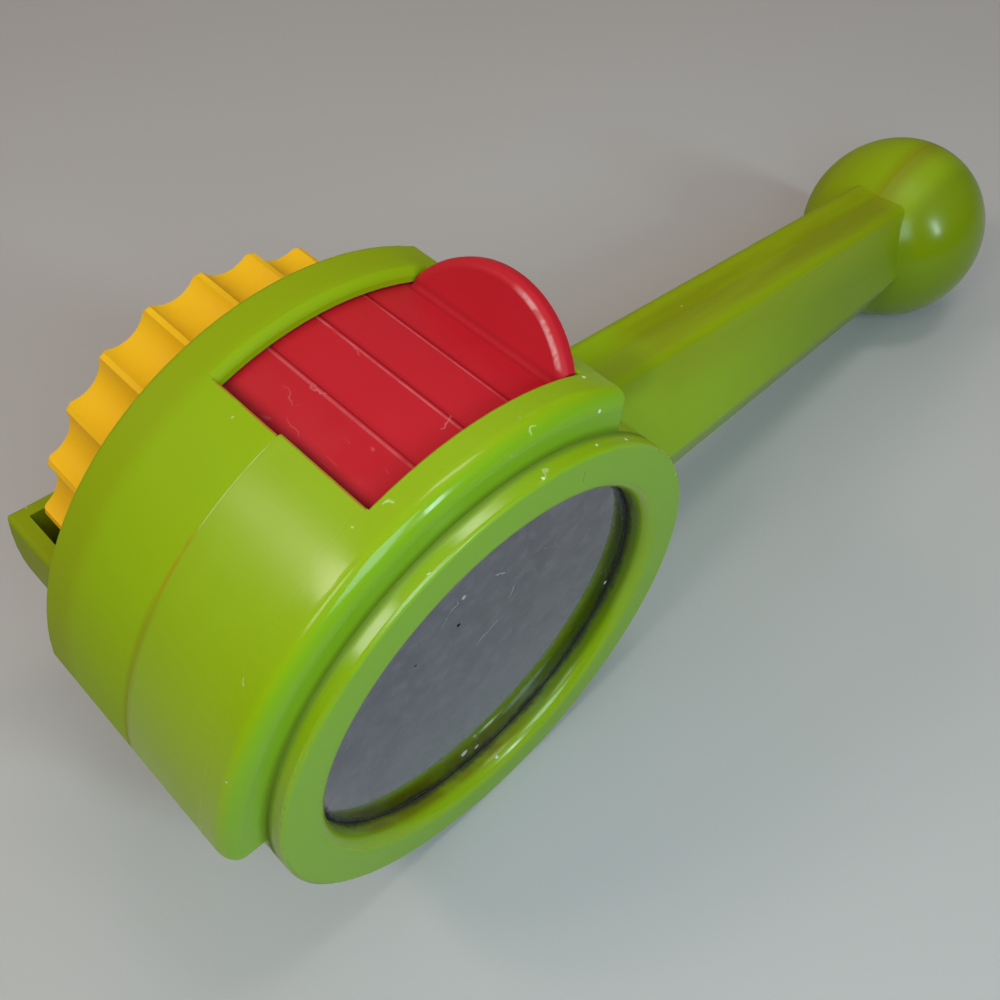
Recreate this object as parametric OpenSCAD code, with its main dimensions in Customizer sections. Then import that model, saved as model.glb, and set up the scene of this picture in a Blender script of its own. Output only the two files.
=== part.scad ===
// Toy hand mirror with a shuttered picture drum, resting on its round case and its ball.
// The origin is in the middle of the flat rear plate.
// X runs towards the ball, Y towards the rear, Z is up.

/* [Case] */
// Outer radius of the round case and of the mirror bezel
case_r = 30.3; // [28:0.1:33]
// Thickness of the round case wall
case_wall = 2.0; // [1.6:0.1:2.2]
// Depth of the whole case from the flat rear face to the front of the bezel
case_depth = 52.2; // [51:0.1:54]
// Thickness of the rear plate
plate_t = 2.0; // [1.6:0.1:2.2]
// Height of the top edge of the rear plate above the drum axis
plate_top = 4.4; // [4.3:0.1:6]
// Rounding of the rear edge of the case
rear_round = 1.0; // [0.4:0.1:1.4]
// Rounding of the top edges of the cage round the thumb wheel
cage_round = 0.8; // [0.4:0.1:1]
// Distance from the front of the bezel back to the parting plane
split_depth = 18.5; // [17.5:0.1:19.5]

/* [Hood] */
// Height of the hood over the shutter above the round case
hood_rise = 4.7; // [4.6:0.1:5.4]
// Thickness of the hood wall
hood_wall = 1.5; // [1.2:0.1:1.7]
// Length of the hood along the drum axis
hood_len = 31.8; // [31:0.1:32.6]
// Angle of the hood's end beside the handle, from the handle axis
hood_end_angle = 62.0; // [61.5:0.1:62.4]
// Height of the hood's lower edge on the far side, below the drum axis
hood_drop = 0.0; // [0:0.1:0.6]
// Thickness of the hood's front wall
hood_front_wall = 2.2; // [1.6:0.1:2.4]
// Thickness of the hood's rear wall
hood_rear_wall = 1.8; // [1.4:0.1:2]
// Thickness of the hood's two end walls
hood_end_wall = 1.8; // [1.4:0.1:2]
// Rounding of the hood's front edge
hood_round = 2.0; // [1:0.1:2.4]
// Rounding of the hood's lower outer edge on the far side
hood_foot_round = 2.4; // [1.6:0.1:2.8]
// Rounding of the hood's end beside the handle
hood_end_round = 1.0; // [0.5:0.1:1.2]
// Rounding of the hood's rear edge
hood_rear_round = 0.6; // [0.3:0.1:1]

/* [Window] */
// Angle of the window's edge beside the handle, from the handle axis
window_near_angle = 67.0; // [66.8:0.1:67.2]
// Angle of the window's far edge in the front shell
window_far_angle = 112.3; // [111.8:0.1:113]
// Extra angle of the window's far edge in the rear shell
window_step_angle = 0.5; // [0:0.1:1]
// Distance from the front of the bezel to the window's front edge
window_front = 6.6; // [6.2:0.1:7]
// Length of the window along the drum axis
window_len = 21.8; // [21.4:0.1:22.4]
// Rounding of the window's outer edges
lip_round = 0.4; // [0.2:0.1:0.6]
// Rounding of the window's rear edge
rear_lip_round = 1.1; // [0.6:0.1:1.1]

/* [Mirror] */
// Width of the bezel's face from its outer edge to the opening
bezel_w = 6.0; // [5.2:0.1:7]
// Height of the bezel's flange in front of the case
bezel_h = 2.2; // [2:0.1:2.6]
// Depth of the mirror's face behind the front of the bezel
mirror_depth = 3.2; // [3:0.1:3.4]
// Thickness of the mirror plate
mirror_t = 1.1; // [0.8:0.1:1.2]
// Thickness of the sticky pad behind the mirror
pad_t = 0.5; // [0.3:0.1:0.6]
// Distance from the edge of the mirror to the edge of the sticky pad
pad_inset = 0.5; // [0.3:0.1:2]
// Thickness of the case's front plate behind the pad
front_plate_t = 1.5; // [1.2:0.1:1.5]
// Wall left round the recess that takes the bezel and the mirror
recess_wall = 2.3; // [2:0.1:2.8]
// Radial gap round the mirror and the bezel's plug
recess_gap = 0.1; // [0.05:0.05:0.3]
// Rounding of the bezel's outer front edge
bezel_round = 0.5; // [0.4:0.1:1.2]
// Rounding of the bezel's inner front edge
opening_round = 1.8; // [1:0.1:2]

/* [Handle] */
// Distance from the drum axis to the ball's centre
ball_x = 114.4; // [112:0.1:118]
// Radius of the ball
ball_r = 15.0; // [14.6:0.1:15.6]
// Half height of the handle where it leaves the case
grip_height = 15.0; // [14.6:0.1:15.6]
// Half width of the flats along the top and bottom of the handle
grip_flat = 5.0; // [4.4:0.1:5.4]
// Half depth of the handle across its front and rear ridges
grip_depth = 9.9; // [9.6:0.1:10.2]
// Half height of the handle at the ball's centre
grip_end_height = 9.9; // [9.4:0.1:10.4]
// Half depth of the handle at the ball's centre
grip_end_depth = 8.3; // [8:0.1:8.6]
// Rounding of the handle's long edges
grip_round = 1.6; // [1:0.1:2]
// Wall thickness of the handle and the ball
grip_wall = 2.0; // [1.6:0.1:2.2]
// Length of the handle's root inside the outline of the round case
grip_root = 6.0; // [4:0.1:8]
// Extra wall between the round case and the handle's hollow
grip_root_wall = 1.2; // [0.8:0.1:1.6]

/* [Shutter] */
// Height of the track that the shutter slides on, above the round case
track_rise = 0.8; // [0.6:0.1:0.9]
// Gap between the shutter and the walls it slides between
shutter_gap = 0.3; // [0.2:0.05:0.35]
// Angle of the shutter's end beside the handle
shutter_near_angle = 65.4; // [65:0.1:66]
// Angle of the shutter's far end
shutter_far_angle = 117.5; // [116:0.1:119]
// Number of slat lines across the shutter
slat_count = 3; // [1:1:3]
// Angle between two slat lines
slat_pitch_angle = 10.45; // [10.2:0.05:10.7]
// Angle of the slat line nearest to the thumb tab
slat_first_angle = 81.4; // [81:0.1:82]
// Width of a slat line
slat_w = 0.4; // [0.3:0.1:0.7]
// Depth of a slat line
slat_d = 0.15; // [0.15:0.05:0.35]
// Angle of the thumb tab's back face
tab_angle = 67.6; // [67.5:0.1:67.8]
// Thickness of the thumb tab
tab_t = 1.8; // [1.6:0.1:2]
// Height of the thumb tab above the hood
tab_rise = 5.3; // [4:0.1:6]
// Radius of the thumb tab's rounded outline
tab_r = 13.0; // [12.4:0.1:13.2]
// Rounding of the thumb tab's rim
tab_round = 1.1; // [0.6:0.1:1.4]
// Rounding in the corner between the thumb tab and the slats
tab_fillet = 0.5; // [0.4:0.1:1]

/* [Picture wheel] */
// Gap between the ridges of the thumb wheel and the case round them
cage_gap = 1.4; // [1:0.1:2]
// Number of ridges round the thumb wheel
wheel_ridges = 24; // [16:8:24]
// Angle of one ridge of the thumb wheel, from the handle axis
wheel_phase_angle = 4.2; // [0:0.1:14]
// Width of a ridge's tip
tip_w = 0.45; // [0.3:0.05:1]
// Depth of the hollow between two ridges, from their tips
scallop_d = 1.75; // [1.2:0.05:1.9]
// Rounding of the thumb wheel's rear edge
rim_round = 0.6; // [0.3:0.1:1]
// Gap between the thumb wheel and the rear plate
wheel_gap = 0.6; // [0.4:0.05:0.8]
// Length of the thumb wheel along the drum axis
wheel_len = 14.6; // [13:0.1:15]
// Thickness of the thumb wheel's rim
rim_t = 3.4; // [2.8:0.1:4]
// Thickness of the web that joins rim and hub on the rear side
web_t = 2.4; // [1.8:0.1:3]
// Radius of the fixed post that the wheel turns on
post_r = 2.6; // [2.4:0.1:2.7]
// Running gap between the post and the wheel's bore
post_gap = 0.05; // [0.03:0.01:0.08]
// Wall thickness of the wheel's hub
hub_wall = 4.4; // [4:0.1:5]
// Number of faces of the picture drum
drum_faces = 8; // [6:2:8]
// Gap between the corners of the picture drum and the case round them
drum_gap = 0.9; // [0.6:0.1:1.4]
// Wall thickness of the picture drum
drum_wall = 1.8; // [1.4:0.1:2.4]
// Thickness of the picture cards
card_t = 0.3; // [0.2:0.05:0.4]
// Margin round a picture card on its face of the drum
card_margin = 1.7; // [1:0.1:3]
// Radius of the circle that the drum's fixing pegs stand on
peg_circle = 13.0; // [11:0.1:15]
// Radius of the drum's fixing pegs
peg_r = 1.5; // [1.2:0.1:1.8]
// Number of the drum's fixing pegs
peg_count = 3; // [2:1:4]
// Length of the drum's fixing pegs
peg_len = 3.0; // [2:0.1:4]
// Wall thickness of the bosses in the thumb wheel that take the pegs
peg_wall = 1.6; // [1.2:0.1:2]
// Height of the collar that the drum's hub runs against
collar_h = 0.6; // [0.4:0.1:0.8]
// End play of the hub between the washer and the collar, at each end
end_play = 0.2; // [0.1:0.05:0.3]
// Thickness of the washer under the wheel's hub
washer_t = 0.5; // [0.4:0.05:0.6]

/* [Screws] */
// Radius of a screw's shank
screw_r = 1.25; // [1.1:0.05:1.35]
// Length of a screw's shank
screw_len = 11.6; // [10.5:0.1:12]
// Radius of a screw's head
screw_head_r = 2.6; // [2.3:0.1:2.7]
// Height of a screw's head
screw_head_h = 1.6; // [1.3:0.1:1.7]
// Gap round a screw's head and shank in the rear shell
screw_gap = 0.25; // [0.15:0.05:0.3]
// Distance from the drum axis to the handle screw nearer to the case
screw_near_x = 52.0; // [48:0.5:56]
// Distance from the drum axis to the handle screw nearer to the ball
screw_far_x = 88.0; // [84:0.5:90]
// Depth from the parting plane back to the seat of the handle screws
screw_seat = 6.2; // [5.8:0.1:6.4]
// Wall thickness of a screw boss
boss_wall = 2.0; // [1.6:0.1:2.2]
// Length of a handle screw boss from the parting plane
boss_len = 7.2; // [7:0.1:7.4]
// Wall thickness of the socket that takes the end of the post
socket_wall = 1.5; // [1.3:0.1:1.6]
// Height of that socket above the rear plate
socket_h = 3.0; // [2.6:0.1:3.2]
// Thickness of that socket's floor above the rear plate
socket_floor = 0.8; // [0.6:0.1:1]
// Gap between that socket and the recess in the thumb wheel's hub
socket_gap = 0.4; // [0.3:0.05:0.5]

/* [Hidden] */
$fn = 96;
eps = 0.02;
// Extra length that a cut runs past the faces it opens
over = 1;
far = 200;
// Sizes that follow from the ones above
bore_r = case_r - case_wall;
front_z = case_depth - bezel_h;
split_z = case_depth - split_depth;
// How the part lies on its round case and its ball
rest_tilt = asin((case_r - ball_r) / ball_x);
axis_height = (case_r - plate_top) / 2;
// Mirror
opening_r = case_r - bezel_w;
recess_r = case_r - recess_wall;
mirror_r = recess_r - recess_gap;
mirror_z = case_depth - mirror_depth;
pad_z = mirror_z - mirror_t - pad_t;
front_plate_z = pad_z - front_plate_t;
// Hood, and the shutter space between its wall and the track
hood_r = case_r + hood_rise;
hood_rear_z = front_z - hood_len;
hood_end_x = hood_r * cos(hood_end_angle);
track_r = case_r + track_rise;
cavity_r = hood_r - hood_wall;
cavity_z0 = hood_rear_z + hood_rear_wall;
cavity_z1 = front_z - hood_front_wall;
cavity_end_x = hood_end_x - hood_end_wall;
cavity_drop = hood_drop - hood_end_wall;
window_z1 = case_depth - window_front;
window_z0 = window_z1 - window_len;
tab_top = hood_r + tab_rise;
tab_mid_z = (window_z0 + window_z1) / 2;
// Handle
grip_start = case_r - grip_root;
hollow_start = case_r + grip_root_wall;
// Picture wheel
bearing_r = post_r + post_gap;
hub_r = bearing_r + hub_wall;
socket_r = post_r + socket_wall;
socket_top_z = plate_t + socket_h;
post_end_z = plate_t + socket_floor;
wheel_r = bore_r - cage_gap;
wheel_z = plate_t + wheel_gap;
wheel_front_z = wheel_z + wheel_len;
scallop_half = PI * wheel_r / wheel_ridges - tip_w / 2;
scallop_r = (scallop_half * scallop_half + scallop_d * scallop_d) / (2 * scallop_d);
hub_z = socket_top_z + washer_t + end_play;
drum_front_z = front_plate_z - collar_h - end_play;
drum_len = drum_front_z - wheel_front_z;
drum_r = bore_r - drum_gap;
face_angle = 360 / drum_faces;
flat_r = drum_r * cos(face_angle / 2);
card_w = 2 * (drum_r * sin(face_angle / 2) - card_margin);
card_len = drum_len - 2 * card_margin;
// Screws
screw_hole_r = screw_r + screw_gap;
head_hole_r = screw_head_r + screw_gap;

// Lays a part built from the rear face upwards down into its resting place
module place() {
    rotate([0, rest_tilt, 0])
        rotate([90, 0, 0])
            translate([0, axis_height, 0])
                children();
}

// Flat wedge between two angles
module wedge(a0, a1, r) {
    mid = (a0 + a1) / 2;
    reach = r / cos((a1 - a0) / 2);
    polygon([[0, 0], [r * cos(a0), r * sin(a0)], [reach * cos(mid), reach * sin(mid)],
             [r * cos(a1), r * sin(a1)]]);
}

// Part of a tube wall between two angles
module sector(r0, r1, a0, a1, h) {
    linear_extrude(height = h)
        intersection() {
            difference() {
                circle(r = r1);
                circle(r = r0);
            }
            wedge(a0, a1, r1 + over);
        }
}

// Material that is taken off a square corner to round it, corner at the origin
module corner_cut(r) {
    difference() {
        translate([-r, -r])
            square(r + over);
        translate([-r, -r])
            circle(r = r);
    }
}

// Like the corner cut, but its round meets both faces at a slight angle
module lip_cut(r) {
    difference() {
        translate([-r, -r])
            square(r + over);
        translate([-r, -r])
            circle(r = 1.03 * r);
    }
}

// Material that is taken off where a flat top at a height meets a round side, to round that edge
module rim_cut(side_r, height, r) {
    y = height - r;
    x = sqrt((side_r - r) * (side_r - r) - y * y);
    reach = (side_r + over) / (side_r - r);
    difference() {
        polygon([[x, y], [reach * x, reach * y], [reach * x, height + over], [x, height + over]]);
        translate([x, y])
            circle(r = r);
    }
}

// Six-sided section of the handle, flats at top and bottom, ridges at front and rear
module grip_section(half_height, half_depth, shrink) {
    k = grip_round;
    lean = half_depth - grip_flat;
    side = sqrt(half_height * half_height + lean * lean);
    h = half_height - shrink - k;
    w = grip_flat - shrink * (side - lean) / half_height - k;
    d = half_depth - shrink * side / half_height - k;
    rotate([0, 90, 0])
        rotate([0, 0, 90])
            linear_extrude(height = eps)
                hull() {
                    for (p = [[h, w], [h, -w], [-h, w], [-h, -w], [0, d], [0, -d]])
                        translate(p)
                            circle(r = k, $fn = 32);
                }
}

// Tapered six-sided bar from one distance along the handle to the ball's centre
module grip_bar(x0, shrink) {
    part = (x0 - grip_start) / (ball_x - grip_start);
    start_height = grip_height + (grip_end_height - grip_height) * part;
    start_depth = grip_depth + (grip_end_depth - grip_depth) * part;
    translate([0, 0, split_z])
        hull() {
            translate([x0, 0, 0])
                grip_section(start_height, start_depth, shrink);
            translate([ball_x - eps, 0, 0])
                grip_section(grip_end_height, grip_end_depth, shrink);
        }
}

// Outline of the round case with its rounded rear edge
module case_body() {
    rotate_extrude()
        difference() {
            square([case_r, front_z]);
            translate([case_r, 0])
                mirror([0, 1])
                    corner_cut(rear_round);
        }
}

// Part of a ring inside the hood's outline, between its two ends
module hood_limits(end_x, drop, z0, z1) {
    intersection() {
        children();
        translate([-far / 2, -drop, z0])
            cube([far / 2 + end_x, far / 2, z1 - z0]);
    }
}

// Raised hood over the shutter, before its hollow is taken out
module hood_body() {
    difference() {
        hood_limits(hood_end_x, hood_drop, hood_rear_z, front_z)
            rotate_extrude()
                difference() {
                    translate([bore_r + eps, hood_rear_z])
                        square([hood_r - bore_r - eps, hood_len]);
                    translate([hood_r, front_z])
                        corner_cut(hood_round);
                    translate([hood_r, hood_rear_z])
                        mirror([0, 1])
                            corner_cut(hood_rear_round);
                }
        translate([-hood_r, -hood_drop, hood_rear_z - over])
            linear_extrude(height = hood_len + 2 * over)
                rotate([0, 0, 180])
                    corner_cut(hood_foot_round);
        translate([0, 0, hood_rear_z - over])
            linear_extrude(height = hood_len + 2 * over)
                mirror([1, -1])
                    rim_cut(hood_r, hood_end_x, hood_end_round);
        translate([hood_end_x, hood_r + over, front_z])
            rotate([90, 0, 0])
                linear_extrude(height = hood_r)
                    corner_cut(hood_end_round);
    }
}

// Curved space that the shutter slides in
module shutter_space() {
    hood_limits(cavity_end_x, cavity_drop, cavity_z0, cavity_z1)
        difference() {
            cylinder(r = cavity_r, h = case_depth);
            translate([0, 0, -over])
                cylinder(r = track_r, h = case_depth + 2 * over);
        }
}

// Part of its children between the planes of the window's two straight edges
module window_limits(extra) {
    intersection() {
        children();
        rotate([0, 0, window_near_angle])
            translate([-far / 2, 0, 0])
                cube([far, far / 2, case_depth]);
        rotate([0, 0, window_far_angle + extra])
            translate([-far / 2, -far / 2, 0])
                cube([far, far / 2, case_depth]);
    }
}

// Window through the hood, the track and the case wall
module window_hole(extra) {
    window_limits(extra)
        translate([0, 0, window_z0])
            difference() {
                cylinder(r = hood_r + over, h = window_len);
                translate([0, 0, -over])
                    cylinder(r = bore_r - over, h = window_len + 2 * over);
            }
}

// Rounding of the window's outer edges
module window_lip(extra) {
    translate([0, 0, window_z0])
        linear_extrude(height = window_len) {
            rotate([0, 0, window_near_angle])
                translate([hood_r, 0])
                    lip_cut(lip_round);
            rotate([0, 0, window_far_angle + extra])
                translate([hood_r, 0])
                    mirror([0, 1])
                        lip_cut(lip_round);
        }
    window_limits(extra)
        rotate_extrude() {
            translate([hood_r, window_z0])
                lip_cut(rear_lip_round);
            translate([hood_r, window_z1])
                mirror([0, 1])
                    lip_cut(lip_round);
        }
}

// Rounding of the cage's top edges beside and behind the thumb wheel
module cage_edges() {
    translate([0, 0, -over])
        linear_extrude(height = hood_rear_z + over) {
            rim_cut(case_r, plate_top, cage_round);
            mirror([1, 0])
                rim_cut(case_r, plate_top, cage_round);
        }
    translate([-case_r, plate_top, 0])
        rotate([0, 90, 0])
            linear_extrude(height = 2 * case_r)
                corner_cut(cage_round);
}

// Whole case as one hollow body, cut into two shells afterwards
module case_hull(extra) {
    difference() {
        union() {
            case_body();
            hood_body();
            grip_bar(grip_start, 0);
            translate([ball_x, 0, split_z])
                sphere(r = ball_r);
        }
        translate([0, 0, plate_t])
            cylinder(r = bore_r, h = front_plate_z - plate_t);
        translate([0, 0, pad_z])
            cylinder(r = recess_r, h = far);
        shutter_space();
        window_hole(extra);
        window_lip(extra);
        cage_edges();
        translate([-far / 4, plate_top, -over])
            cube([far / 2, far / 4, hood_rear_z + over]);
        grip_bar(hollow_start, grip_wall);
        translate([ball_x, 0, split_z])
            sphere(r = ball_r - grip_wall);
    }
}

// Everything on one side of the parting plane
module front_half() {
    intersection() {
        children();
        translate([-far / 2, -far / 2, split_z])
            cube([far * 1.5, far, far]);
    }
}
module rear_half() {
    intersection() {
        children();
        translate([-far / 2, -far / 2, split_z - far])
            cube([far * 1.5, far, far]);
    }
}

// Places its children at each of the two handle screws
module at_grip_screws() {
    for (x = [screw_near_x, screw_far_x])
        translate([x, 0, 0])
            children();
}

// Front shell with the post that the picture wheel turns on
module front_shell() {
    color([0.50, 0.63, 0.07])
        place()
            difference() {
                union() {
                    front_half()
                        case_hull(0);
                    translate([0, 0, post_end_z])
                        cylinder(r = post_r, h = front_plate_z - post_end_z + eps);
                    translate([0, 0, front_plate_z - collar_h])
                        cylinder(r = hub_r, h = collar_h + eps);
                    at_grip_screws()
                        translate([0, 0, split_z])
                            cylinder(r = screw_r + boss_wall, h = boss_len);
                }
                translate([0, 0, plate_t])
                    cylinder(r = screw_r, h = screw_len);
                at_grip_screws()
                    translate([0, 0, split_z - screw_seat])
                        cylinder(r = screw_r, h = screw_len);
            }
}

// Rear shell with the rear plate that closes the wheel's cage
module rear_shell() {
    color([0.48, 0.61, 0.07])
        place()
            difference() {
                union() {
                    rear_half()
                        case_hull(window_step_angle);
                    translate([0, 0, plate_t - eps])
                        cylinder(r = socket_r, h = socket_h + eps);
                    at_grip_screws()
                        translate([0, 0, split_z - boss_len])
                            cylinder(r = screw_r + boss_wall, h = boss_len);
                }
                translate([0, 0, post_end_z])
                    cylinder(r = post_r, h = socket_h);
                translate([0, 0, -over])
                    cylinder(r = screw_hole_r, h = post_end_z + 2 * over);
                translate([0, 0, -over])
                    cylinder(r = head_hole_r, h = plate_t + over);
                at_grip_screws()
                    translate([0, 0, split_z - boss_len - over])
                        cylinder(r = screw_hole_r, h = boss_len + 2 * over);
                at_grip_screws()
                    translate([0, 0, -over])
                        cylinder(r = head_hole_r, h = split_z - screw_seat + over);
            }
}

// Ring that frames the mirror and holds it in the case
module mirror_bezel() {
    color([0.45, 0.62, 0.16])
        place()
            rotate_extrude()
                difference() {
                    union() {
                        translate([opening_r, front_z])
                            square([case_r - opening_r, bezel_h]);
                        translate([opening_r, mirror_z])
                            square([mirror_r - opening_r, front_z - mirror_z + eps]);
                    }
                    translate([case_r, case_depth])
                        corner_cut(bezel_round);
                    translate([opening_r, case_depth])
                        mirror([1, 0])
                            corner_cut(opening_round);
                }
}

// Mirror plate behind the bezel
module mirror_plate() {
    color([0.72, 0.74, 0.78])
        place()
            translate([0, 0, mirror_z - mirror_t])
                cylinder(r = mirror_r, h = mirror_t);
}

// Sticky pad that holds the mirror to the front plate
module mirror_pad() {
    color([0.85, 0.84, 0.80])
        place()
            translate([0, 0, pad_z])
                cylinder(r = mirror_r - pad_inset, h = pad_t);
}

// Curved sliding shutter with slat lines and a thumb tab
module shutter() {
    outer = cavity_r - shutter_gap;
    inner = track_r + shutter_gap;
    z0 = cavity_z0 + shutter_gap;
    len = cavity_z1 - cavity_z0 - 2 * shutter_gap;
    tab_z = window_z0 + shutter_gap;
    tab_len = window_len - 2 * shutter_gap;
    color([0.72, 0.08, 0.14])
        place() {
            difference() {
                translate([0, 0, z0])
                    sector(inner, outer, shutter_near_angle, shutter_far_angle, len);
                for (i = [0 : slat_count - 1])
                    rotate([0, 0, slat_first_angle + i * slat_pitch_angle])
                        translate([outer - slat_d, -slat_w / 2, z0 - over])
                            cube([slat_d + over, slat_w, len + 2 * over]);
            }
            rotate([0, 0, tab_angle])
                intersection() {
                    translate([tab_top - tab_r, 0, tab_mid_z])
                        rotate([-90, 0, 0])
                            rotate_extrude()
                                difference() {
                                    square([tab_r, tab_t]);
                                    translate([tab_r, tab_t])
                                        corner_cut(tab_round);
                                }
                    translate([(inner + outer) / 2, -over, tab_z])
                        cube([far, tab_t + 2 * over, tab_len]);
                }
            rotate([0, 0, tab_angle])
                translate([outer + tab_fillet, tab_t + tab_fillet, tab_z])
                    linear_extrude(height = tab_len)
                        rotate([0, 0, 180])
                            difference() {
                                translate([-eps, -eps])
                                    square([tab_fillet + slat_d, tab_fillet + 2 * eps]);
                                circle(r = tab_fillet);
                            }
        }
}

// Places its children where each of the drum's fixing pegs leaves the drum
module at_pegs() {
    for (i = [0 : peg_count - 1])
        rotate([0, 0, i * 360 / peg_count])
            translate([peg_circle, 0, wheel_front_z])
                children();
}

// Ridged thumb wheel behind the hood, closed at the rear and hollow towards the drum
module thumb_wheel() {
    pitch = 360 / wheel_ridges;
    hollow = wheel_len - web_t;
    color([0.93, 0.66, 0.06])
        place()
            difference() {
                union() {
                    difference() {
                        translate([0, 0, wheel_z])
                            rotate_extrude()
                                difference() {
                                    square([wheel_r, wheel_len]);
                                    translate([wheel_r, 0])
                                        mirror([0, 1])
                                            corner_cut(rim_round);
                                }
                        translate([0, 0, wheel_z + web_t])
                            cylinder(r = wheel_r - rim_t, h = wheel_len);
                        for (i = [0 : wheel_ridges - 1])
                            rotate([0, 0, wheel_phase_angle + (i + 0.5) * pitch])
                                translate([wheel_r - scallop_d + scallop_r, 0, wheel_z - over])
                                    cylinder(r = scallop_r, h = wheel_len + 2 * over);
                    }
                    translate([0, 0, wheel_z])
                        cylinder(r = hub_r, h = wheel_len);
                    at_pegs()
                        translate([0, 0, -hollow - eps])
                            cylinder(r = peg_r + peg_wall, h = hollow + eps);
                }
                cylinder(r = bearing_r, h = case_depth);
                translate([0, 0, wheel_z - over])
                    cylinder(r = socket_r + socket_gap, h = hub_z - wheel_z + over);
                at_pegs()
                    translate([0, 0, -peg_len])
                        cylinder(r = peg_r, h = peg_len + over);
            }
}

// Many-sided drum that carries the picture cards past the window
module picture_drum() {
    color([0.92, 0.91, 0.86])
        place()
            difference() {
                union() {
                    difference() {
                        translate([0, 0, wheel_front_z])
                            rotate([0, 0, face_angle / 2])
                                cylinder(r = drum_r, h = drum_len, $fn = drum_faces);
                        translate([0, 0, wheel_front_z + drum_wall])
                            rotate([0, 0, face_angle / 2])
                                cylinder(r = drum_r - drum_wall / cos(face_angle / 2), h = drum_len,
                                         $fn = drum_faces);
                    }
                    translate([0, 0, wheel_front_z])
                        cylinder(r = hub_r, h = drum_len);
                    at_pegs()
                        translate([0, 0, -peg_len])
                            cylinder(r = peg_r, h = peg_len + eps);
                }
                cylinder(r = bearing_r, h = case_depth);
            }
}

// Plain cards on the faces of the picture drum
module picture_cards() {
    color([0.55, 0.70, 0.82])
        place()
            for (i = [0 : drum_faces - 1])
                rotate([0, 0, i * face_angle])
                    translate([flat_r, -card_w / 2, wheel_front_z + card_margin])
                        cube([card_t, card_w, card_len]);
}

// Slippery washer between the rear shell's socket and the wheel's hub
module wheel_washer() {
    color([0.90, 0.90, 0.88])
        place()
            translate([0, 0, socket_top_z])
                difference() {
                    cylinder(r = socket_r, h = washer_t);
                    translate([0, 0, -over])
                        cylinder(r = bearing_r, h = washer_t + 2 * over);
                }
}

// One case screw standing on its head, seat at the origin
module case_screw() {
    translate([0, 0, -screw_head_h])
        cylinder(r = screw_head_r, h = screw_head_h);
    translate([0, 0, -eps])
        cylinder(r = screw_r, h = screw_len + eps);
}

// Screws that hold the two shells together
module case_screws() {
    color([0.62, 0.63, 0.65])
        place() {
            translate([0, 0, plate_t])
                case_screw();
            at_grip_screws()
                translate([0, 0, split_z - screw_seat])
                    case_screw();
        }
}

front_shell();
rear_shell();
mirror_bezel();
mirror_plate();
mirror_pad();
shutter();
thumb_wheel();
picture_drum();
picture_cards();
wheel_washer();
case_screws();
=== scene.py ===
"""Looks and stage of a toy hand mirror with a shuttered picture drum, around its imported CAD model."""

import math

import bmesh
import bpy
from mathutils import Matrix, Vector


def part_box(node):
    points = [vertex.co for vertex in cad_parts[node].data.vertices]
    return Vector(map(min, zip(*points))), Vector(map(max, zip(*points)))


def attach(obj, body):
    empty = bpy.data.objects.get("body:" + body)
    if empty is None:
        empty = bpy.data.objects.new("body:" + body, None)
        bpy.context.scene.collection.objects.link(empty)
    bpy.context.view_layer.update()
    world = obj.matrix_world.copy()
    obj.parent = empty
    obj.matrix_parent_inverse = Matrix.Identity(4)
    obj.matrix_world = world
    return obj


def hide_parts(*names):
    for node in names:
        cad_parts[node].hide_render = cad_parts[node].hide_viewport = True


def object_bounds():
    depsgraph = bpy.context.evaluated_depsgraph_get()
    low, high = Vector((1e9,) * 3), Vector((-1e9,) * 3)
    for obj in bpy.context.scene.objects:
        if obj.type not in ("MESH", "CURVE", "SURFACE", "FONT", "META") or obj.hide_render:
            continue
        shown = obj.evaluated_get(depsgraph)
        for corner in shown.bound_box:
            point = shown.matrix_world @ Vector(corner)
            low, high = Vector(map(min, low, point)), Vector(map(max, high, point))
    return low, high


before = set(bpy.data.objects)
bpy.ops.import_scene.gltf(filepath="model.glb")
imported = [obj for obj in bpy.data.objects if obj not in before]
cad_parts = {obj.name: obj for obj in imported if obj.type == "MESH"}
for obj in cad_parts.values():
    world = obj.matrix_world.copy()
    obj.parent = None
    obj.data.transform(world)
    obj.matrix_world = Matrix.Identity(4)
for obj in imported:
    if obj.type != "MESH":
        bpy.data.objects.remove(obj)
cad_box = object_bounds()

bl_info = {
    "name": "Toy hand mirror",
    "version": (1, 0, 0),
    "blender": (4, 5, 0),
    "location": "3D View > Sidebar > Hand mirror",
    "description": "Finishes and stage of a toy hand mirror with a shuttered picture drum",
    "category": "Object",
}

MM = 0.001

# Places on the solids that finishes and loose pieces line up with, in millimetres and degrees
GLASS_SINK = 1.0
WINDOW_ANGLE, WINDOW_HALF_ANGLE = 89.9, 22.6
WINDOW_DEPTH, WINDOW_HALF_DEPTH = 34.7, 10.4
WINDOW_FAR_EDGE, WINDOW_FRONT_EDGE = 112.45, 45.70
SLAT_START, SLAT_PITCH = 81.4, 10.45
TAB_ANGLE, TAB_MIDDLE, TAB_RADIUS = 67.6, 27.3, 12.25
RIDGE_START, RIDGE_PITCH = 4.2, 15.0
DRUM_FACES, DRUM_RADIUS = 8, 27.4
FACE_TURN = 360.0 / DRUM_FACES
CARD_CORNER = 1.2
THREAD_PITCH = 1.1
POST_SCREW_HEIGHT = 2.0
HANDLE_SCREWS, HANDLE_SCREW_DEPTH = (52.0, 88.0), 6.2

# Colours of wear, dirt and painted shade that several finishes share
NICK_COLOUR = (0.80, 0.86, 0.66)
SCUFF_COLOUR = (0.66, 0.72, 0.36)
HAIR_COLOUR = (0.58, 0.66, 0.26)
JOINT_DIRT_AND_SHADE = (0.045, 0.085, 0.004)

# Depth of the relief of finishes and reach of a weld in metres, and how far scratches waver in millimetres
RELIEF = 0.00002
WELD = 0.000001
WAVER = 2.4

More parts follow.
